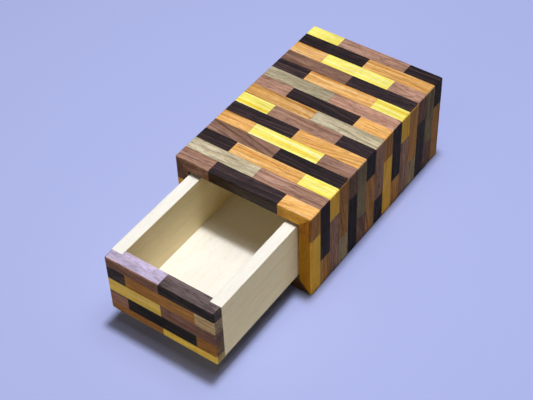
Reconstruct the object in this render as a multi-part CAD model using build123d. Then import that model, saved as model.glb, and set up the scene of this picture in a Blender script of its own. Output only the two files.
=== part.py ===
from build123d import *
import math
import os

# A small wooden box. Its case is a mitred sleeve laminated from strips of five woods in running
# bond, closed by a panel at the back. A pale drawer with a laminated front slides out of the mouth.
# A loose pin behind the drawer locks it when the box is tipped to one side.
# Millimetres, +X right, +Y to the back, +Z up, origin at the middle of the case's underside.
# The drawer stands drawn out by drawer_out, and the lock pin lies released.

# Lamination
strip_width = 8.0
strip_count = 15
top_trim = 1.2  # cut off the two bricks that cross the top
fold_loss = 5.8  # length of strip lost to saw and mitre where the board folds round a corner
shortest_piece = 2.0  # no shorter offcut is laid at the end of a strip
bottom_brick_count = 4  # bricks of the board used up before the bottom starts
front_middle_count = 7  # strips of the board up to the one at mid-height of the drawer front
staggered_woods = ["walnut", "ebony", "cherry", "yellowwood"]  # order along odd strips
aligned_woods = ["magnolia", "walnut", "ebony", "cherry"]  # order along even strips

# Case
case_width = 78.0
case_height = 52.4
side_thickness = 7.0
top_thickness = 7.0
bottom_thickness = 8.0
back_thickness = 7.0
outer_ease = 1.0  # radius of the outer edges
mouth_ease = 0.4  # radius of the inner edges at the mouth

# Drawer
drawer_out = 63.5
drawer_side_clearance = 0.9
drawer_under_clearance = 0.5
drawer_over_clearance = 1.5
drawer_wall = 6.4
drawer_front_thickness = 8.0
drawer_back_thickness = 6.4
corner_lap = 2.4  # how far the drawer sides run into the rabbets of the front and back
side_lift = 1.3  # lower edge of the drawer sides above that of the front and back
floor_thickness = 2.0
floor_recess = 2.7  # floor's underside above the lower edge of the front and back
floor_tongue = 2.6  # depth of the grooves that hold the floor
floor_clearance = 0.1  # room for the floor to swell in its grooves
front_ease = 1.2  # radius of the front's outer edges
wall_ease = 0.4

# Lock
shut_clearance = 0.3  # from the shut drawer to the guide blocks that stop it
guide_height = 22.0
guide_wall = 4.0  # wood before and behind the pin
pin_diameter = 6.0
pin_setback = 1.5  # released pin's end to the slot between the guide blocks
pin_grip = 6.5  # how far the locked pin runs into the far guide block
pin_end_clearance = 0.5
pin_ease = 0.6
bore_clearance = 0.3
bore_chamfer = 0.6  # where the bores open into the slot
hook_thickness = 7.0
hook_slot_clearance = 0.5
hook_notch_clearance = 0.5
hook_end_clearance = 1.0  # from the shut drawer's hook to the case back
hook_bar = 3.0  # wood over the notch
tenon_length = 3.0
tenon_side_shoulder = 1.0
tenon_end_shoulder = 2.0

# Stop
stop_margin = 6.3  # from the drawer back, as it stands, to the stop
stop_diameter = 5.0
stop_clearance = 0.6  # from the stop to the drawer floor that passes over it
stop_hole_floor = 3.0  # wood left under the stop
stop_ease = 0.4
glue_clearance = 0.05

# Places that follow
near = 0.01  # less than any real size, to tell edges apart
brick_length = (case_width + top_trim) / 2  # length of one wood along a strip
case_length = strip_count * strip_width
case_front = -case_length / 2
case_back = case_length / 2
case_right = case_width / 2
case_left = -case_right
mouth_right = case_right - side_thickness
mouth_left = -mouth_right
mouth_bottom = bottom_thickness
mouth_top = case_height - top_thickness
back_inner = case_back - back_thickness

pin_radius = pin_diameter / 2
pin_y = back_inner - guide_wall - pin_radius
pin_z = mouth_bottom + guide_height / 2
guide_front = pin_y - pin_radius - guide_wall
guide_inner = hook_thickness / 2 + hook_slot_clearance
pin_right = -guide_inner - pin_setback
pin_left = mouth_left + pin_end_clearance
pin_travel = pin_setback + 2 * guide_inner + pin_grip
bore_radius = pin_radius + bore_clearance

drawer_right = mouth_right - drawer_side_clearance
drawer_left = -drawer_right
drawer_bottom = mouth_bottom + drawer_under_clearance
drawer_top = mouth_top - drawer_over_clearance
drawer_length = guide_front - shut_clearance - case_front
front_face = case_front - drawer_out
front_inner = front_face + drawer_front_thickness
back_face = front_face + drawer_length
back_board_inner = back_face - drawer_back_thickness
side_front_end = front_inner - corner_lap
side_back_end = back_board_inner + corner_lap
side_bottom = drawer_bottom + side_lift
floor_bottom = drawer_bottom + floor_recess
floor_top = floor_bottom + floor_thickness
wall_inner_right = drawer_right - drawer_wall

notch_radius = pin_radius + hook_notch_clearance
notch_y = pin_y - drawer_out
hook_tip = guide_wall - hook_notch_clearance - hook_end_clearance
hook_end = notch_y + notch_radius + hook_tip
hook_low = pin_z - notch_radius - hook_bar
hook_high = pin_z + notch_radius + hook_bar

stop_radius = stop_diameter / 2
stop_y = back_board_inner - stop_margin - stop_radius
stop_top = floor_bottom - stop_clearance


def block(x, y, z):
    # a straight block between two places along each axis
    middle = Pos((x[0] + x[1]) / 2, (y[0] + y[1]) / 2, (z[0] + z[1]) / 2)
    return middle * Box(x[1] - x[0], y[1] - y[0], z[1] - z[0])


def cross_rod(x, y, z, radius):
    # a round rod that runs across the box
    return Pos((x[0] + x[1]) / 2, y, z) * Rot(0, 90, 0) * Cylinder(radius, x[1] - x[0])


def upright_rod(x, y, z, radius):
    return Pos(x, y, (z[0] + z[1]) / 2) * Cylinder(radius, z[1] - z[0])


# Lamination
def wood_of(strip, brick):
    # the order of woods along a strip moves on by one wood every second strip
    woods = staggered_woods if strip % 2 else aligned_woods
    return woods[((strip - 1) // 2 + brick) % len(woods)]


def bricks(strip, start, end):
    # woods between two places along a strip of the board, with where each starts and ends
    stagger = 0.5 if strip % 2 else 0.0
    first = math.floor(start / brick_length + stagger)
    last = math.floor(end / brick_length + stagger)
    joints = [(n - stagger) * brick_length for n in range(first + 1, last + 1)]
    joints = [j for j in joints if j - start > shortest_piece and end - j > shortest_piece]
    edges = [start] + joints + [end]
    for low, high in zip(edges, edges[1:]):
        brick = math.floor((low + high) / 2 / brick_length + stagger)
        yield wood_of(strip, brick), low, high


def cut_up(panel, cells):
    # a panel's blocks, gathered by wood
    blocks = {}
    for wood, cell in cells:
        blocks.setdefault(wood, []).extend((panel & cell).solids())
    return blocks


def strip_place(strip):
    low = case_front + (strip - 1) * strip_width
    return low, low + strip_width


# Case panels
full_height = (0, case_height)
full_width = (case_left, case_right)
strips = range(1, strip_count + 1)
right_start = case_width + fold_loss
bottom_start = bottom_brick_count * brick_length


def make_sleeve():
    outer = block(full_width, (case_front, case_back), full_height)
    outer = fillet(outer.edges(), outer_ease)
    reach = (case_front - case_length, case_back + case_length)
    return outer - block((mouth_left, mouth_right), reach, (mouth_bottom, mouth_top))


def ease_mouth(panel):
    # rounds the inner edge of a case panel at the mouth
    at_mouth = []
    for edge in panel.edges():
        middle = edge.center()
        inside = abs(middle.X) < mouth_right + near and mouth_bottom - near < middle.Z < mouth_top + near
        if inside and abs(middle.Y - case_front) < near:
            at_mouth.append(edge)
    return fillet(at_mouth, mouth_ease)


def mitre_far(inner):
    # outside the case, on the mitre from an inner corner through the middle of the rounded edge
    x = case_right - outer_ease if inner[0] > 0 else case_left + outer_ease
    z = case_height - outer_ease if inner[1] > case_height / 2 else outer_ease
    return 2 * x - inner[0], 2 * z - inner[1]


def mitred(sleeve, inner_start, inner_end):
    # one side of the sleeve, between the mitres at two inner corners
    corners = [inner_start, mitre_far(inner_start), mitre_far(inner_end), inner_end]
    outline = Polyline(*[(x, case_front, z) for x, z in corners], close=True)
    panel = sleeve & extrude(make_face(outline), amount=case_length, dir=(0, 1, 0))
    return ease_mouth(panel)


def top_cells():
    for strip in strips:
        for wood, low, high in bricks(strip, 0, case_width):
            yield wood, block((case_left + low, case_left + high), strip_place(strip), full_height)


def right_cells():
    for strip in strips:
        for wood, low, high in bricks(strip, right_start, right_start + case_height):
            drop = (case_height - (high - right_start), case_height - (low - right_start))
            yield wood, block(full_width, strip_place(strip), drop)


def left_cells():
    for strip in strips:
        for wood, low, high in bricks(strip, -fold_loss - case_height, -fold_loss):
            rise = (case_height + fold_loss + low, case_height + fold_loss + high)
            yield wood, block(full_width, strip_place(strip), rise)


def bottom_cells():
    for strip in strips:
        for wood, low, high in bricks(strip, bottom_start, bottom_start + case_width):
            across = (case_right - (high - bottom_start), case_right - (low - bottom_start))
            yield wood, block(across, strip_place(strip), full_height)


def end_cells(y, z, facing):
    # strips laid across an end panel; facing is 1 at the drawer front and -1 at the case back
    middle = (z[0] + z[1]) / 2
    reach = math.ceil((z[1] - z[0]) / 2 / strip_width + 0.5)
    for step in range(-reach, reach + 1):
        low_z = middle + (step - 0.5) * strip_width
        rise = (max(low_z, z[0]), min(low_z + strip_width, z[1]))
        if rise[1] - rise[0] < near:
            continue
        strip = front_middle_count + step
        centre = brick_length / 2
        for wood, low, high in bricks(strip, centre - mouth_right, centre + mouth_right):
            across = sorted([facing * (low - centre), facing * (high - centre)])
            yield wood, block(across, y, rise)


def make_case_panels():
    sleeve = make_sleeve()
    top_left = (mouth_left, mouth_top)
    top_right = (mouth_right, mouth_top)
    bottom_left = (mouth_left, mouth_bottom)
    bottom_right = (mouth_right, mouth_bottom)
    top = mitred(sleeve, top_left, top_right)
    right = mitred(sleeve, top_right, bottom_right)
    bottom = mitred(sleeve, bottom_right, bottom_left)
    left = mitred(sleeve, bottom_left, top_left)
    stop_hole = (stop_hole_floor, case_height)
    bottom = bottom - upright_rod(0, stop_y, stop_hole, stop_radius + glue_clearance)
    back_y = (back_inner, case_back)
    back_z = (mouth_bottom, mouth_top)
    back = block((mouth_left, mouth_right), back_y, back_z)
    return {
        "top": cut_up(top, top_cells()),
        "right": cut_up(right, right_cells()),
        "left": cut_up(left, left_cells()),
        "bottom": cut_up(bottom, bottom_cells()),
        "back": cut_up(back, end_cells(back_y, back_z, -1)),
    }


# Drawer
def floor_board(spread):
    # the floor, or with a spread the grooves that hold it
    side = wall_inner_right + floor_tongue + spread
    ends = (front_inner - floor_tongue - spread, back_board_inner + floor_tongue + spread)
    return block((-side, side), ends, (floor_bottom, floor_top))


def side_board(hand):
    across = sorted([hand * wall_inner_right, hand * drawer_right])
    side = block(across, (side_front_end, side_back_end), (side_bottom, drawer_top))
    side = side - floor_board(floor_clearance)
    along = side.edges().filter_by(Axis.Y)
    return fillet(along.group_by(Axis.Z)[-1], wall_ease)


def corner_rabbets(y):
    # the ends of the drawer sides, where the front or back is cut away for them
    high = (drawer_bottom - drawer_wall, drawer_top + drawer_wall)
    reach = drawer_right + drawer_wall
    return [block(sorted([hand * wall_inner_right, hand * reach]), y, high) for hand in (-1, 1)]


def make_drawer_front():
    across = (drawer_left, drawer_right)
    y = (front_face, front_inner)
    z = (drawer_bottom, drawer_top)
    panel = block(across, y, z)
    round_face = panel.edges().group_by(Axis.Y)[0]
    corners = panel.edges().filter_by(Axis.Y)
    panel = fillet(round_face + corners, front_ease)
    rabbets = corner_rabbets((side_front_end, front_inner + drawer_wall))
    panel = panel - rabbets - floor_board(floor_clearance)
    return cut_up(panel, end_cells(y, z, 1))


def hook_tenon():
    half = hook_thickness / 2 - tenon_side_shoulder
    z = (hook_low + tenon_end_shoulder, hook_high - tenon_end_shoulder)
    return block((-half, half), (back_face - tenon_length, back_face), z)


def make_drawer_back():
    y = (back_board_inner, back_face)
    board = block((drawer_left, drawer_right), y, (drawer_bottom, drawer_top))
    rabbets = corner_rabbets((back_board_inner - drawer_wall, side_back_end))
    board = board - rabbets - floor_board(floor_clearance) - hook_tenon()
    return fillet(board.edges().filter_by(Axis.X).group_by(Axis.Z)[-1], wall_ease)


# Lock
def make_hook():
    # a tongue with a notch that is open below and round about the pin
    half = hook_thickness / 2
    hook = block((-half, half), (back_face, hook_end), (hook_low, hook_high))
    tip_edges = hook.edges().filter_by(Axis.X).group_by(Axis.Y)[-1]
    hook = chamfer(tip_edges, hook_tip / 2)
    across = (-hook_thickness, hook_thickness)
    notch = cross_rod(across, notch_y, pin_z, notch_radius)
    notch_sides = (notch_y - notch_radius, notch_y + notch_radius)
    notch_mouth = block(across, notch_sides, (hook_low - hook_bar, pin_z))
    return hook - notch - notch_mouth + hook_tenon()


def guide_block(hand):
    # hand is -1 on the left, where the released pin lies, and 1 on the right
    across = sorted([hand * guide_inner, hand * mouth_right])
    z = (mouth_bottom, mouth_bottom + guide_height)
    guide = block(across, (guide_front, back_inner), z)
    if hand < 0:
        bore = (mouth_left, -guide_inner)
    else:
        bore = (guide_inner, guide_inner + pin_grip + pin_end_clearance)
    guide = guide - cross_rod(bore, pin_y, pin_z, bore_radius)
    round_edges = guide.edges().filter_by(GeomType.CIRCLE)
    lip = [e for e in round_edges if abs(e.center().X - hand * guide_inner) < near]
    return chamfer(lip, bore_chamfer)


def make_pin():
    pin = cross_rod((pin_left, pin_right), pin_y, pin_z, pin_radius)
    return chamfer(pin.edges().filter_by(GeomType.CIRCLE), pin_ease)


def make_stop():
    stop = upright_rod(0, stop_y, (stop_hole_floor, stop_top), stop_radius)
    return chamfer(stop.edges().filter_by(GeomType.CIRCLE).group_by(Axis.Z)[-1], stop_ease)


# Every piece by its name
pieces = {}
panels = make_case_panels()
panels["front"] = make_drawer_front()
for panel_name, blocks in panels.items():
    for wood, solids in blocks.items():
        pieces[panel_name + "_" + wood] = Compound(solids)
pieces["drawer_left_side"] = side_board(-1)
pieces["drawer_right_side"] = side_board(1)
pieces["drawer_back"] = make_drawer_back()
pieces["drawer_floor"] = floor_board(0)
pieces["lock_hook"] = make_hook()
pieces["lock_guide_left"] = guide_block(-1)
pieces["lock_guide_right"] = guide_block(1)
pieces["lock_pin"] = make_pin()
pieces["drawer_stop"] = make_stop()

os.makedirs("parts", exist_ok=True)
for name, piece in pieces.items():
    export_step(piece, "parts/" + name + ".step")
print("case", case_width, case_length, case_height)
print("drawer slides in", drawer_out, "and further out", stop_margin)
print("pin slides", pin_travel)
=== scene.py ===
import bpy
import math
from mathutils import Matrix, Vector


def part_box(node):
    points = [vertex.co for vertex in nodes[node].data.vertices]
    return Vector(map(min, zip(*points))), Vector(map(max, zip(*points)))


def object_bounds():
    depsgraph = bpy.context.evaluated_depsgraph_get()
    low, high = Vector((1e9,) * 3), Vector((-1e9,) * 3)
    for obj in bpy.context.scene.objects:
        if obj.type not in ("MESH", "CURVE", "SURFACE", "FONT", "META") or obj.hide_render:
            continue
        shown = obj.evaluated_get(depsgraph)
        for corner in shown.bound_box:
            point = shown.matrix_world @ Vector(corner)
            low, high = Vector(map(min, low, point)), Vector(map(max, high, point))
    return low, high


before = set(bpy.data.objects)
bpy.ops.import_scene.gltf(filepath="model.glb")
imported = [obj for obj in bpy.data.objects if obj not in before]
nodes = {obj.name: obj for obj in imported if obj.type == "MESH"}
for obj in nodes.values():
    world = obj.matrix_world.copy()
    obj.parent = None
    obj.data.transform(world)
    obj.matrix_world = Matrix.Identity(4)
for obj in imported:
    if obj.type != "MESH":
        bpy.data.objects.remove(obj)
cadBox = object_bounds()
print("frame loaded with", len(nodes), "nodes")

mm = 0.001  # metres in a millimetre


# sizes of the lamination, in mm
board = {
    "stripCount": 15,
    "topTrim": 1.2,  # cut off the two bricks that cross the top
    "foldLoss": 5.8,  # lost where the board folds round a corner
    "bottomBrickCount": 4,  # bricks used up before the bottom starts
    "frontMiddleCount": 7,  # strip of the board at mid-height of the drawer front
}

# woods as they look in bright light, sRGB 0 to 255; sizes are along and across the grain, in mm,
# and a depth says how strongly a mark shows
woods = {
    "walnut": {
        "heart": (172, 132, 114), "pale": (200, 165, 153), "dark": (106, 73, 56), "pore": (70, 49, 43),
        "deep": (0.55, 0.49, 0.41),  # share of each colour on faces that do not look up: painted shade, sides darker than tops
        "edge": (228, 214, 255), "edgeCalm": 0.5,  # painted sheen, a reflection on the upper edge of the drawer front
        "streak": (50, 1.3), "streakDepth": 0.8, "ringSpacing": 3.2, "ringDepth": 0.25, "wander": 1.4,
        "poreSize": (4.4, 0.42), "poreCover": 0.42, "poreDepth": 0.58, "fibreDepth": 0.45,
        "slope": 0.20, "mottle": 0.52, "ripple": 0.0, "toneSpread": 0.72, "roughness": 0.46,
    },
    "ebony": {
        "heart": (48, 37, 41), "pale": (88, 68, 67), "dark": (24, 19, 21), "pore": (14, 12, 13),
        "deep": (0.96, 1.12, 1.20),
        "edge": (141, 123, 126), "edgeCalm": 0.15,
        "streak": (80, 1.1), "streakDepth": 0.9, "ringSpacing": 2.4, "ringDepth": 0.4, "wander": 1.2,
        "poreSize": (5.5, 0.46), "poreCover": 0.44, "poreDepth": 0.8, "fibreDepth": 0.55,
        "slope": 0.10, "mottle": 0.45, "ripple": 0.0, "toneSpread": 0.72, "roughness": 0.42,
    },
    "cherry": {
        "heart": (234, 179, 105), "pale": (250, 212, 158), "dark": (174, 105, 36), "pore": (138, 84, 38),
        "deep": (0.50, 0.39, 0.21),
        "edge": (234, 178, 102), "edgeCalm": 0.0,
        "streak": (40, 1.3), "streakDepth": 0.8, "ringSpacing": 3.0, "ringDepth": 0.30, "wander": 1.6,
        "poreSize": (5.0, 0.40), "poreCover": 0.43, "poreDepth": 0.40, "fibreDepth": 0.40,
        "slope": 0.30, "mottle": 0.32, "ripple": 0.05, "toneSpread": 0.48, "roughness": 0.44,
    },
    "yellowwood": {
        "heart": (254, 248, 128), "pale": (254, 252, 190), "dark": (246, 207, 50), "pore": (228, 174, 56),
        "deep": (0.71, 0.415, 0.08),
        "edge": (254, 248, 128), "edgeCalm": 0.0,
        "streak": (50, 2.0), "streakDepth": 0.9, "ringSpacing": 3.4, "ringDepth": 0.25, "wander": 1.6,
        "poreSize": (5.0, 0.42), "poreCover": 0.41, "poreDepth": 0.42, "fibreDepth": 0.28,
        "slope": 0.16, "mottle": 0.26, "ripple": 0.05, "toneSpread": 0.08, "roughness": 0.44,
    },
    "magnolia": {
        "heart": (203, 190, 161), "pale": (222, 213, 194), "dark": (116, 104, 72), "pore": (98, 88, 66),
        "deep": (0.46, 0.39, 0.27),
        "edge": (194, 181, 152), "edgeCalm": 0.0,
        "streak": (26, 1.2), "streakDepth": 0.8, "ringSpacing": 3.0, "ringDepth": 0.28, "wander": 3.2,
        "poreSize": (2.6, 0.42), "poreCover": 0.40, "poreDepth": 0.5, "fibreDepth": 0.34,
        "slope": 0.20, "mottle": 0.46, "ripple": 0.05, "toneSpread": 0.58, "roughness": 0.50,
    },
    "drawerWood": {
        "heart": (253, 251, 246), "pale": (254, 253, 250), "dark": (247, 239, 220), "pore": (226, 206, 168),
        "deep": (1.0, 0.885, 0.58),
        "streak": (90, 2.6), "streakDepth": 0.45, "ringSpacing": 4.0, "ringDepth": 0.16, "wander": 3.0,
        "poreSize": (2.2, 0.34), "poreCover": 0.35, "poreDepth": 0.35, "fibreDepth": 0.09,
        "slope": 0.10, "mottle": 0.06, "ripple": 0.0, "toneSpread": 0.04, "roughness": 0.60,
    },
}

steel = {
    "colour": (176, 178, 182), "roughness": 0.18, "roughSpread": 0.2,
    "scratchSize": (0.05, 2.0),  # along the pin and round it, mm
    "toneLow": 0.86, "toneSpread": 0.24,
}


# measures taken from the frame, in mm
def boxOf(names):
    lows, highs = zip(*[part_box(name) for name in names])
    low = Vector([min(v[i] for v in lows) for i in range(3)]) / mm
    high = Vector([max(v[i] for v in highs) for i in range(3)]) / mm
    return low, high


def panelNodes(panel):
    return [name for name in nodes if name.startswith(panel + "_") and name.split("_")[-1] in woods]


sleeve = ["top", "right", "bottom", "left"]
caseLow, caseHigh = boxOf([name for panel in sleeve for name in panelNodes(panel)])
frontLow, frontHigh = boxOf(panelNodes("front"))
backLow, backHigh = boxOf(panelNodes("back"))
caseWidth = caseHigh.x - caseLow.x
caseHeight = caseHigh.z - caseLow.z
stripWidth = (caseHigh.y - caseLow.y) / board["stripCount"]
brickLength = (caseWidth + board["topTrim"]) / 2


# shader node helpers
def plug(tree, value, socket):
    if isinstance(value, bpy.types.NodeSocket):
        tree.links.new(value, socket)
    else:
        socket.default_value = value


def calc(tree, operation, *values, clamp=False):
    node = tree.nodes.new("ShaderNodeMath")
    node.operation = operation
    node.use_clamp = clamp
    for value, socket in zip(values, node.inputs):
        plug(tree, value, socket)
    return node.outputs[0]


def vectorOf(tree, x, y, z):
    node = tree.nodes.new("ShaderNodeCombineXYZ")
    for value, socket in zip((x, y, z), node.inputs):
        plug(tree, value, socket)
    return node.outputs[0]


def addVectors(tree, a, b):
    node = tree.nodes.new("ShaderNodeVectorMath")
    node.operation = "ADD"
    plug(tree, a, node.inputs[0])
    plug(tree, b, node.inputs[1])
    return node.outputs[0]


def partsOf(tree, vector):
    node = tree.nodes.new("ShaderNodeSeparateXYZ")
    plug(tree, vector, node.inputs[0])
    return node.outputs[0], node.outputs[1], node.outputs[2]


def noiseAt(tree, vector, detail=2.0, roughness=0.5):
    node = tree.nodes.new("ShaderNodeTexNoise")
    plug(tree, vector, node.inputs["Vector"])
    node.inputs["Scale"].default_value = 1.0
    node.inputs["Detail"].default_value = detail
    node.inputs["Roughness"].default_value = roughness
    return node.outputs["Fac"]


def smoothStep(tree, value, low, high):
    node = tree.nodes.new("ShaderNodeMapRange")
    node.interpolation_type = "SMOOTHSTEP"
    plug(tree, value, node.inputs["Value"])
    node.inputs["From Min"].default_value = low
    node.inputs["From Max"].default_value = high
    return node.outputs["Result"]


def blendColours(tree, factor, a, b, how="MIX"):
    node = tree.nodes.new("ShaderNodeMix")
    node.data_type = "RGBA"
    node.blend_type = how
    plug(tree, factor, node.inputs[0])
    plug(tree, a, node.inputs[6])
    plug(tree, b, node.inputs[7])
    return node.outputs[2]


def scaleColour(tree, colour, factor):
    node = tree.nodes.new("ShaderNodeVectorMath")
    node.operation = "SCALE"
    plug(tree, colour, node.inputs[0])
    plug(tree, factor, node.inputs["Scale"])
    return node.outputs[0]


def paint(rgb):
    linear = []
    for part in rgb:
        part = part / 255
        linear.append(part / 12.92 if part <= 0.04045 else ((part + 0.055) / 1.055) ** 2.4)
    return (*linear, 1.0)


def newMaterial(name):
    material = bpy.data.materials.new(name)
    material.use_nodes = True
    tree = material.node_tree
    tree.nodes.clear()
    output = tree.nodes.new("ShaderNodeOutputMaterial")
    shader = tree.nodes.new("ShaderNodeBsdfPrincipled")
    tree.links.new(shader.outputs[0], output.inputs["Surface"])
    return material, tree, shader


def placeInMm(tree):
    coordinates = tree.nodes.new("ShaderNodeTexCoord")
    mapping = tree.nodes.new("ShaderNodeMapping")
    mapping.inputs["Scale"].default_value = (1 / mm, 1 / mm, 1 / mm)
    tree.links.new(coordinates.outputs["Object"], mapping.inputs["Vector"])
    return partsOf(tree, mapping.outputs[0])


# how the strips lie on each panel: grain runs along, strips are counted across,
# place along the board = turn * along + shift, and chance picks which blocks turn out light or dark
rightStart = caseWidth + board["foldLoss"]
bottomStart = board["bottomBrickCount"] * brickLength
stripsBelowMiddle = (board["frontMiddleCount"] - 0.5) * stripWidth
layouts = {
    "top": {"along": 0, "across": 1, "turn": 1, "shift": -caseLow.x, "start": caseLow.y, "chance": 1357},
    "right": {"along": 2, "across": 1, "turn": -1, "shift": rightStart + caseHeight,
              "start": caseLow.y, "chance": 473},
    "bottom": {"along": 0, "across": 1, "turn": -1, "shift": bottomStart + caseHigh.x,
               "start": caseLow.y, "chance": 3},
    "left": {"along": 2, "across": 1, "turn": 1, "shift": -board["foldLoss"] - caseHeight,
             "start": caseLow.y, "chance": 4},
    "front": {"along": 0, "across": 2, "turn": 1, "shift": brickLength / 2,
              "start": (frontLow.z + frontHigh.z) / 2 - stripsBelowMiddle, "chance": 2798},
    "back": {"along": 0, "across": 2, "turn": -1, "shift": brickLength / 2,
             "start": (backLow.z + backHigh.z) / 2 - stripsBelowMiddle, "chance": 6},
}
plainShadeTint = (1, 1, 1)
paintedShadeTints = {  # painted shade of faces that do not look up, as factors on the deep shares
    "front": {"walnut": (1.36, 1.30, 1.37), "ebony": (1.38, 1.48, 1.30), "cherry": (1.01, 1.02, 0.98),
              "yellowwood": (1.10, 1.42, 4.5), "magnolia": (2.6, 2.5, 2.4)},
}
paintedMouthShades = {  # painted shade and painted warm bounce light on the faces round the mouth of the case
    "top": {"walnut": (0.81, 0.75, 0.68), "ebony": (0.52, 0.24, 0.05), "cherry": (1.54, 1.74, 0.42)},
    "right": {"cherry": (0.94, 0.87, 0.15), "yellowwood": (0.63, 0.52, 0.03)},
    "bottom": {"walnut": (0.34, 0.32, 0.22)},
}
boards = {  # drawer boards and lock blocks, with the axis of their grain
    "drawer_left_side": 1, "drawer_right_side": 1, "drawer_floor": 1, "drawer_back": 0,
    "lock_hook": 1, "lock_guide_left": 0, "lock_guide_right": 0, "drawer_stop": 2,
}
figure = {  # marks that all the woods share: sizes as above, layers are a noise's detail and roughness
    "logSpread": 300.0,  # blocks are cut up to this far apart in the log, mm
    "bendSize": (24.0, 8.0), "bendLayers": (1.5, 0.5),
    "cloudSize": (16.0, 3.4), "cloudLayers": (2.0, 0.5),
    "streakLayers": (3.0, 0.6), "darkStreak": (0.50, 0.72), "paleStreak": (0.50, 0.30),
    "ringPower": 3.0,  # makes a ring darken slowly and end sharply
    "poreLayers": (1.0, 0.5), "poreRim": 0.07,
    "fibreSize": (12.0, 0.7), "fibreLayers": (2.5, 0.65),
    "rippleTurn": 1.9,  # radians in a mm along the grain
    "rippleBend": 9.0, "rippleFloor": 0.2,
    "speckleCount": 0.7,  # spots in a mm of a sawn end
    "speckleLayers": (3.0, 0.7), "speckleFade": (0.30, 0.62),
}
turned = {  # part of a face's normal that points the named way, where its look starts and where it is full
    "sawn": (0.75, 0.90),
    "under": (0.60, 0.95),
    # mask of the painted sheen on up-facing faces
    "edge": (0.80, 0.98),
    "mouth": (0.80, 0.98),
    "upper": (0.35, 0.90),
}
finish = {
    "glueLine": 0.14,  # width of the dark line between two blocks, mm
    "glueDepth": 0.55,
    "seamMargin": 0.9,  # no glue line this close to a panel's end, mm
    "wornEdge": 1.1,  # width of the rubbed band along outer edges, mm
    "wornLift": 0.10,  # taken as a share of what is left up to white
    "sawnDepth": 0.45,  # how dark the spots on sawn ends are
    "sawnColour": (156, 139, 124), "sawnShare": 0.42,  # sawn ends look much alike in all the woods
    "underShadeDepth": 0.6,  # painted shade: how dark the undersides are
    "shine": 0.18,
    "fibreDullness": 0.16, "poreDullness": 0.12, "rubbedDullness": -0.06,  # added to the roughness
    "bumpHeight": 0.04,  # mm
    "bumpStrength": 0.35, "fibreRise": 0.5, "poreRise": -1.0, "glueRise": -0.8,
}


def edgeDistance(tree, place, low, high):
    # on the surface of a box the middle one of the three distances is that to the nearest edge
    gaps = []
    for part, start, end in zip(place, low, high):
        offset = calc(tree, "ABSOLUTE", calc(tree, "SUBTRACT", part, (start + end) / 2))
        gaps.append(calc(tree, "SUBTRACT", (end - start) / 2, offset))
    a, b, c = gaps
    smaller = calc(tree, "MINIMUM", a, b)
    larger = calc(tree, "MAXIMUM", a, b)
    return calc(tree, "MAXIMUM", smaller, calc(tree, "MINIMUM", larger, c))


def blockCells(tree, place, layout, low, high):
    # number of the strip and of the brick on it, and the glue lines between blocks
    along = place[layout["along"]]
    across = place[layout["across"]]
    strip = calc(tree, "DIVIDE", calc(tree, "SUBTRACT", across, layout["start"]), stripWidth)
    stripNumber = calc(tree, "FLOOR", strip)
    odd = calc(tree, "FLOORED_MODULO", stripNumber, 2.0)
    stagger = calc(tree, "MULTIPLY_ADD", odd, -0.5, 0.5)  # the first strip is a staggered one
    onBoard = calc(tree, "MULTIPLY_ADD", along, float(layout["turn"]), layout["shift"])
    brick = calc(tree, "ADD", calc(tree, "DIVIDE", onBoard, brickLength), stagger)
    brickNumber = calc(tree, "FLOOR", brick)
    toStrip = calc(tree, "MULTIPLY", calc(tree, "PINGPONG", strip, 0.5), stripWidth)
    toBrick = calc(tree, "MULTIPLY", calc(tree, "PINGPONG", brick, 0.5), brickLength)
    inside = 1.0
    for axis in (layout["along"], layout["across"]):
        offset = calc(tree, "ABSOLUTE", calc(tree, "SUBTRACT", place[axis], (low[axis] + high[axis]) / 2))
        gap = calc(tree, "SUBTRACT", (high[axis] - low[axis]) / 2, offset)
        inside = calc(tree, "MULTIPLY", inside, calc(tree, "GREATER_THAN", gap, finish["seamMargin"]))
    nearest = calc(tree, "MINIMUM", toStrip, toBrick)
    line = calc(tree, "SUBTRACT", 1.0, smoothStep(tree, nearest, 0.0, finish["glueLine"]))
    glue = calc(tree, "MULTIPLY", line, inside)
    return stripNumber, brickNumber, glue


def grainNoise(tree, grain, size, logPlace, layers):
    # noise drawn out along the grain
    along, across, deep = grain
    length, width = size
    spot = vectorOf(tree, calc(tree, "DIVIDE", along, length), calc(tree, "DIVIDE", across, width),
                    calc(tree, "DIVIDE", deep, width))
    return noiseAt(tree, addVectors(tree, spot, logPlace), *layers)


def swing(tree, value, depth):
    # noise about one half as a factor about one
    return calc(tree, "MULTIPLY_ADD", calc(tree, "SUBTRACT", value, 0.5), 2 * depth, 1.0)


def darkenBy(tree, mark, depth):
    return calc(tree, "MULTIPLY_ADD", mark, -depth, 1.0)


def product(tree, factors):
    total = factors[0]
    for factor in factors[1:]:
        total = calc(tree, "MULTIPLY", total, factor)
    return total


def cutFromLog(tree, cell):
    # every block is cut from another place in the log
    white = tree.nodes.new("ShaderNodeTexWhiteNoise")
    white.noise_dimensions = "3D"
    tree.links.new(cell, white.inputs["Vector"])
    chances = partsOf(tree, white.outputs["Color"])
    return chances, scaleColour(tree, white.outputs["Color"], figure["logSpread"])


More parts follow.
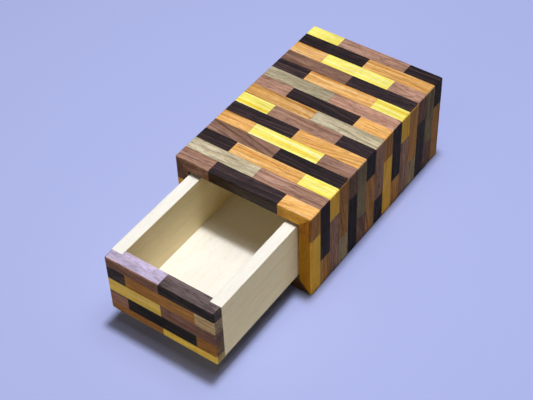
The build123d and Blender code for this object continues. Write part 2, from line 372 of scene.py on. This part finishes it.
def drawFigure(tree, wood, grainPlace, chances, logPlace):
    along, across, deep = grainPlace
    toneChance, ringChance, leanChance = chances

    # most blocks run nearly straight, a few lie well aslant, and the grain wanders
    lean = calc(tree, "MULTIPLY_ADD", leanChance, 2.0, -1.0)
    lean = calc(tree, "MULTIPLY", lean, calc(tree, "MULTIPLY", lean, lean))
    slanted = calc(tree, "MULTIPLY_ADD", along, calc(tree, "MULTIPLY", lean, wood["slope"]), across)
    straight = (along, slanted, deep)
    bend = grainNoise(tree, straight, figure["bendSize"], logPlace, figure["bendLayers"])
    bend = calc(tree, "SUBTRACT", bend, 0.5)
    curved = calc(tree, "MULTIPLY_ADD", bend, 2 * wood["wander"], slanted)

    # broad cloudy tone, then streaks of darker and paler wood
    cloud = grainNoise(tree, straight, figure["cloudSize"], logPlace, figure["cloudLayers"])
    streak = grainNoise(tree, (along, curved, deep), wood["streak"], logPlace, figure["streakLayers"])

    # growth rings
    ringPlace = calc(tree, "MULTIPLY_ADD", deep, calc(tree, "SUBTRACT", ringChance, 0.5), curved)
    spacing = calc(tree, "MULTIPLY_ADD", ringChance, wood["ringSpacing"], 0.5 * wood["ringSpacing"])
    ringPlace = calc(tree, "ADD", calc(tree, "DIVIDE", ringPlace, spacing), leanChance)
    ring = calc(tree, "POWER", calc(tree, "FRACT", ringPlace), figure["ringPower"])

    # short dark pores, fine fibres and a ripple across the grain
    poreStart = 1.0 - wood["poreCover"]
    pore = grainNoise(tree, straight, wood["poreSize"], logPlace, figure["poreLayers"])
    pore = smoothStep(tree, pore, poreStart, poreStart + figure["poreRim"])
    fibre = grainNoise(tree, straight, figure["fibreSize"], logPlace, figure["fibreLayers"])
    turn = calc(tree, "MULTIPLY", along, figure["rippleTurn"])
    wave = calc(tree, "SINE", calc(tree, "MULTIPLY_ADD", bend, figure["rippleBend"], turn))
    ripple = calc(tree, "MULTIPLY", wave, calc(tree, "SUBTRACT", cloud, figure["rippleFloor"]))

    # spots that show on sawn ends
    count = figure["speckleCount"]
    spot = vectorOf(tree, 0.0, calc(tree, "MULTIPLY", across, count), calc(tree, "MULTIPLY", deep, count))
    speckle = noiseAt(tree, addVectors(tree, spot, logPlace), *figure["speckleLayers"])
    speckle = smoothStep(tree, speckle, *figure["speckleFade"])

    return {"tone": toneChance, "cloud": cloud, "streak": streak, "ring": ring, "pore": pore, "fibre": fibre,
            "ripple": ripple, "speckle": speckle}


def normalOf(tree):
    coordinates = tree.nodes.new("ShaderNodeTexCoord")
    return partsOf(tree, coordinates.outputs["Normal"])


def facing(tree, name, part):
    # one on the faces that look the named way and zero on the others
    return smoothStep(tree, part, *turned[name])


def woodColour(tree, wood, marks, normal, hasPaintedSheen):
    darkStreak = smoothStep(tree, marks["streak"], *figure["darkStreak"])
    paleStreak = smoothStep(tree, marks["streak"], *figure["paleStreak"])
    coats = [
        (darkStreak, wood["streakDepth"], "dark"),
        (paleStreak, wood["streakDepth"], "pale"),
        (marks["ring"], wood["ringDepth"], "dark"),
        (marks["pore"], wood["poreDepth"], "pore"),
    ]
    colour = paint(wood["heart"])
    # painted sheen: a pale reflection colour on the up-facing faces of the drawer front
    if hasPaintedSheen:
        edge = facing(tree, "edge", normal[2])
        colour = blendColours(tree, edge, colour, paint(wood["edge"]))
        coats.append((edge, wood["edgeCalm"], "edge"))
    for mark, depth, name in coats:
        colour = blendColours(tree, calc(tree, "MULTIPLY", mark, depth), colour, paint(wood[name]))
    return colour


def tinted(shares, shadeTint):
    return (*[share * part for share, part in zip(shares, shadeTint)], 1.0)


def paintedFaceShade(tree, wood, normal, shadeTint, mouthShade):
    # painted shade: faces that do not look up take the deep shares, upper faces keep the wood's colour
    tone = tinted(wood["deep"], shadeTint)
    if mouthShade:
        # painted shade and bounce light round the mouth: the deep shares times the mouth tint
        mouth = facing(tree, "mouth", calc(tree, "MULTIPLY", normal[1], -1.0))
        tone = blendColours(tree, mouth, tone, tinted(wood["deep"], mouthShade))
    return blendColours(tree, facing(tree, "upper", normal[2]), tone, (1.0, 1.0, 1.0, 1.0))


def oilWood(tree, shader, wood, marks, rubbed, glue):
    # satin finish, duller in the pores and smoother where hands rub it
    fibreSwing = calc(tree, "SUBTRACT", marks["fibre"], 0.5)
    dull = calc(tree, "MULTIPLY_ADD", fibreSwing, finish["fibreDullness"], wood["roughness"])
    dull = calc(tree, "MULTIPLY_ADD", marks["pore"], finish["poreDullness"], dull)
    dull = calc(tree, "MULTIPLY_ADD", rubbed, finish["rubbedDullness"], dull)
    tree.links.new(dull, shader.inputs["Roughness"])
    shader.inputs["Specular IOR Level"].default_value = finish["shine"]
    height = calc(tree, "MULTIPLY", marks["fibre"], finish["fibreRise"])
    height = calc(tree, "MULTIPLY_ADD", marks["pore"], finish["poreRise"], height)
    height = calc(tree, "MULTIPLY_ADD", glue, finish["glueRise"], height)
    bump = tree.nodes.new("ShaderNodeBump")
    bump.inputs["Strength"].default_value = finish["bumpStrength"]
    bump.inputs["Distance"].default_value = finish["bumpHeight"] * mm
    tree.links.new(height, bump.inputs["Height"])
    tree.links.new(bump.outputs[0], shader.inputs["Normal"])


def makeWood(name, wood, axes, box, seed, layout=None, shadeTint=plainShadeTint, mouthShade=None, hasPaintedSheen=False):
    material, tree, shader = newMaterial(name)
    place = placeInMm(tree)
    if layout:
        stripNumber, brickNumber, glue = blockCells(tree, place, layout, *box)
        cell = (stripNumber, brickNumber, seed)
    else:
        glue = 0.0
        cell = (seed, seed, seed)
    chances, logPlace = cutFromLog(tree, vectorOf(tree, *cell))
    marks = drawFigure(tree, wood, [place[axis] for axis in axes], chances, logPlace)
    normal = normalOf(tree)
    sawn = facing(tree, "sawn", calc(tree, "ABSOLUTE", normal[axes[0]]))
    under = facing(tree, "under", calc(tree, "MULTIPLY", normal[2], -1.0))
    rubbed = smoothStep(tree, edgeDistance(tree, place, *box), finish["wornEdge"], 0.0)

    colour = woodColour(tree, wood, marks, normal, hasPaintedSheen)
    # painted shade: the colour is multiplied by the deep shares on faces that do not look up
    colour = blendColours(tree, 1.0, colour, paintedFaceShade(tree, wood, normal, shadeTint, mouthShade), "MULTIPLY")
    if layout:
        alike = calc(tree, "MULTIPLY", sawn, finish["sawnShare"])
        colour = blendColours(tree, alike, colour, paint(finish["sawnColour"]))
    wornLift = finish["wornLift"] * (1 - paint(wood["heart"])[0])
    tone = product(tree, [
        swing(tree, marks["fibre"], wood["fibreDepth"]),
        swing(tree, marks["cloud"], wood["mottle"]),
        calc(tree, "MULTIPLY_ADD", marks["ripple"], wood["ripple"], 1.0),
        swing(tree, marks["tone"], wood["toneSpread"] / 2),
        calc(tree, "MULTIPLY_ADD", rubbed, wornLift, 1.0),
        darkenBy(tree, glue, finish["glueDepth"]),
        darkenBy(tree, calc(tree, "MULTIPLY", sawn, marks["speckle"]), finish["sawnDepth"]),
        # painted shade on faces that look down
        darkenBy(tree, under, finish["underShadeDepth"]),
    ])
    tree.links.new(scaleColour(tree, colour, tone), shader.inputs["Base Color"])
    oilWood(tree, shader, wood, marks, rubbed, glue)
    return material


def makeSteel():
    material, tree, shader = newMaterial("pinSteel")
    x, y, z = placeInMm(tree)
    width, length = steel["scratchSize"]
    scratchPlace = vectorOf(tree, calc(tree, "DIVIDE", x, width), calc(tree, "DIVIDE", y, length),
                            calc(tree, "DIVIDE", z, length))
    scratch = noiseAt(tree, scratchPlace)
    tone = calc(tree, "MULTIPLY_ADD", scratch, steel["toneSpread"], steel["toneLow"])
    tree.links.new(scaleColour(tree, paint(steel["colour"])[:3], tone), shader.inputs["Base Color"])
    shader.inputs["Metallic"].default_value = 1.0
    rough = calc(tree, "MULTIPLY_ADD", scratch, steel["roughSpread"], steel["roughness"])
    tree.links.new(rough, shader.inputs["Roughness"])
    return material


def dress(name, material):
    piece = nodes[name]
    piece.data.materials.clear()
    piece.data.materials.append(material)


# laminated panels
boxes = {panel: (caseLow, caseHigh) for panel in sleeve}
boxes["front"] = (frontLow, frontHigh)
boxes["back"] = (backLow, backHigh)
for panel, layout in layouts.items():
    axes = (layout["along"], layout["across"], 3 - layout["along"] - layout["across"])
    for name in panelNodes(panel):
        wood = name.split("_")[-1]
        # painted shade factors for this panel's wood
        shadeTint = paintedShadeTints.get(panel, {}).get(wood, plainShadeTint)
        mouthShade = paintedMouthShades.get(panel, {}).get(wood)
        title = wood + "On" + panel.capitalize()
        material = makeWood(title, woods[wood], axes, boxes[panel], layout["chance"], layout, shadeTint,
                            mouthShade, hasPaintedSheen=panel == "front")
        dress(name, material)
print("laminated panels dressed:", ", ".join(layouts))

# drawer boards and lock
for number, (name, grain) in enumerate(boards.items()):
    axes = (grain, (grain + 1) % 3, (grain + 2) % 3)
    dress(name, makeWood(name + "Wood", woods["drawerWood"], axes, boxOf([name]), number + 0.5))
dress("lock_pin", makeSteel())
print("drawer and lock dressed")


# stage, light and camera
stage = {
    "floorSize": 40.0,
    "floorRoughness": 0.9,
    "floorShine": 0.1,
    "floorColour": (182, 193, 250),  # as the camera sees it
    "bounceColour": (235, 237, 255),  # as it lights the object
    "mirrorColour": (104, 105, 118),  # as it is mirrored in the finish
    "worldColour": (255, 252, 248),
    "worldStrength": 0.01,
    "backdropColour": (160, 170, 219),  # of the far floor and the room behind it
    "litRadius": 0.35,  # the floor is made up to the backdrop's level beyond this, m
    "lampHeight": 1.05,
}
lamps = {  # places in metres from the point that the camera looks at
    "overhead": {"place": (0.009, 0.064, 1.05), "size": 0.12, "power": 7.2, "colour": (255, 254, 252)},
    "ceiling": {"place": (0.08, 0.10, 1.00), "size": 0.60, "power": 2.8, "colour": (255, 254, 252)},
    "room": {"place": (-0.10, -0.95, 0.95), "size": 0.90, "power": 1.2, "colour": (255, 231, 190)},
    "front": {"place": (-0.45, -1.55, 0.20), "size": 1.00, "power": 4.0, "colour": (255, 240, 214)},
}
view = {
    "eye": (0.26183, -0.39024, 0.46970),
    "aim": (-0.00145, -0.03867, 0.02500),
    "roll": 2.33,  # degrees, top of the camera tipped to the right
    "lens": 86.36,
    "sensor": 36.0,
    "nearest": 0.01,  # nothing closer is drawn, m
}


def makeFloor():
    bpy.ops.object.select_all(action="DESELECT")
    bpy.ops.mesh.primitive_plane_add(size=stage["floorSize"], location=(0, 0, cadBox[0][2]))
    floor = bpy.context.object
    floor.name = "floor"
    bpy.ops.object.transform_apply(location=True, rotation=False, scale=False)
    material, tree, shader = newMaterial("plainFloor")
    path = tree.nodes.new("ShaderNodeLightPath")
    colour = blendColours(tree, path.outputs["Is Glossy Ray"], paint(stage["bounceColour"]),
                          paint(stage["mirrorColour"]))
    colour = blendColours(tree, path.outputs["Is Camera Ray"], colour, paint(stage["floorColour"]))
    tree.links.new(colour, shader.inputs["Base Color"])
    coordinates = tree.nodes.new("ShaderNodeTexCoord")
    x, y, z = partsOf(tree, coordinates.outputs["Object"])
    x = calc(tree, "SUBTRACT", x, view["aim"][0])
    y = calc(tree, "SUBTRACT", y, view["aim"][1])
    spread = calc(tree, "MULTIPLY_ADD", x, x, calc(tree, "MULTIPLY_ADD", y, y, stage["lampHeight"] ** 2))
    level = calc(tree, "DIVIDE", stage["litRadius"] ** 2 + stage["lampHeight"] ** 2, spread)
    loss = calc(tree, "SUBTRACT", 1.0, calc(tree, "MULTIPLY", level, level), clamp=True)  # light lost far out
    shader.inputs["Emission Color"].default_value = paint(stage["backdropColour"])
    glow = calc(tree, "MULTIPLY", loss, path.outputs["Is Camera Ray"])
    tree.links.new(glow, shader.inputs["Emission Strength"])
    shader.inputs["Roughness"].default_value = stage["floorRoughness"]
    shader.inputs["Specular IOR Level"].default_value = stage["floorShine"]
    floor.data.materials.append(material)


def makeLamp(name, lamp):
    data = bpy.data.lights.new(name, "AREA")
    data.shape = "DISK"
    data.size = lamp["size"]
    data.energy = lamp["power"]
    data.color = paint(lamp["colour"])[:3]
    light = bpy.data.objects.new(name, data)
    bpy.context.scene.collection.objects.link(light)
    place = Vector(lamp["place"])
    light.location = Vector(view["aim"]) + place
    light.rotation_euler = (-place).to_track_quat("-Z", "Y").to_euler()


def makeLight():
    world = bpy.data.worlds.new("softRoom")
    bpy.context.scene.world = world
    world.use_nodes = True
    tree = world.node_tree
    background = tree.nodes["Background"]
    path = tree.nodes.new("ShaderNodeLightPath")
    isSeen = path.outputs["Is Camera Ray"]
    isMirrored = path.outputs["Is Glossy Ray"]
    colour = blendColours(tree, isMirrored, paint(stage["worldColour"]), paint(stage["mirrorColour"]))
    colour = blendColours(tree, isSeen, colour, paint(stage["backdropColour"]))
    tree.links.new(colour, background.inputs["Color"])
    lift = calc(tree, "MULTIPLY", calc(tree, "MAXIMUM", isSeen, isMirrored), 1.0 - stage["worldStrength"])
    tree.links.new(calc(tree, "ADD", lift, stage["worldStrength"]), background.inputs["Strength"])
    for name, lamp in lamps.items():
        makeLamp(name, lamp)


def makeCamera():
    data = bpy.data.cameras.new("camera")
    data.sensor_fit = "HORIZONTAL"
    data.sensor_width = view["sensor"]
    data.lens = view["lens"]
    data.clip_start = view["nearest"]
    camera = bpy.data.objects.new("camera", data)
    bpy.context.scene.collection.objects.link(camera)
    eye = Vector(view["eye"])
    look = (Vector(view["aim"]) - eye).to_track_quat("-Z", "Y").to_matrix()
    roll = Matrix.Rotation(math.radians(-view["roll"]), 3, "Z")
    camera.matrix_world = Matrix.Translation(eye) @ (look @ roll).to_4x4()
    bpy.context.scene.camera = camera


makeFloor()
makeLight()
makeCamera()
bpy.context.scene.view_settings.view_transform = "Standard"
print("stage, light and camera set")
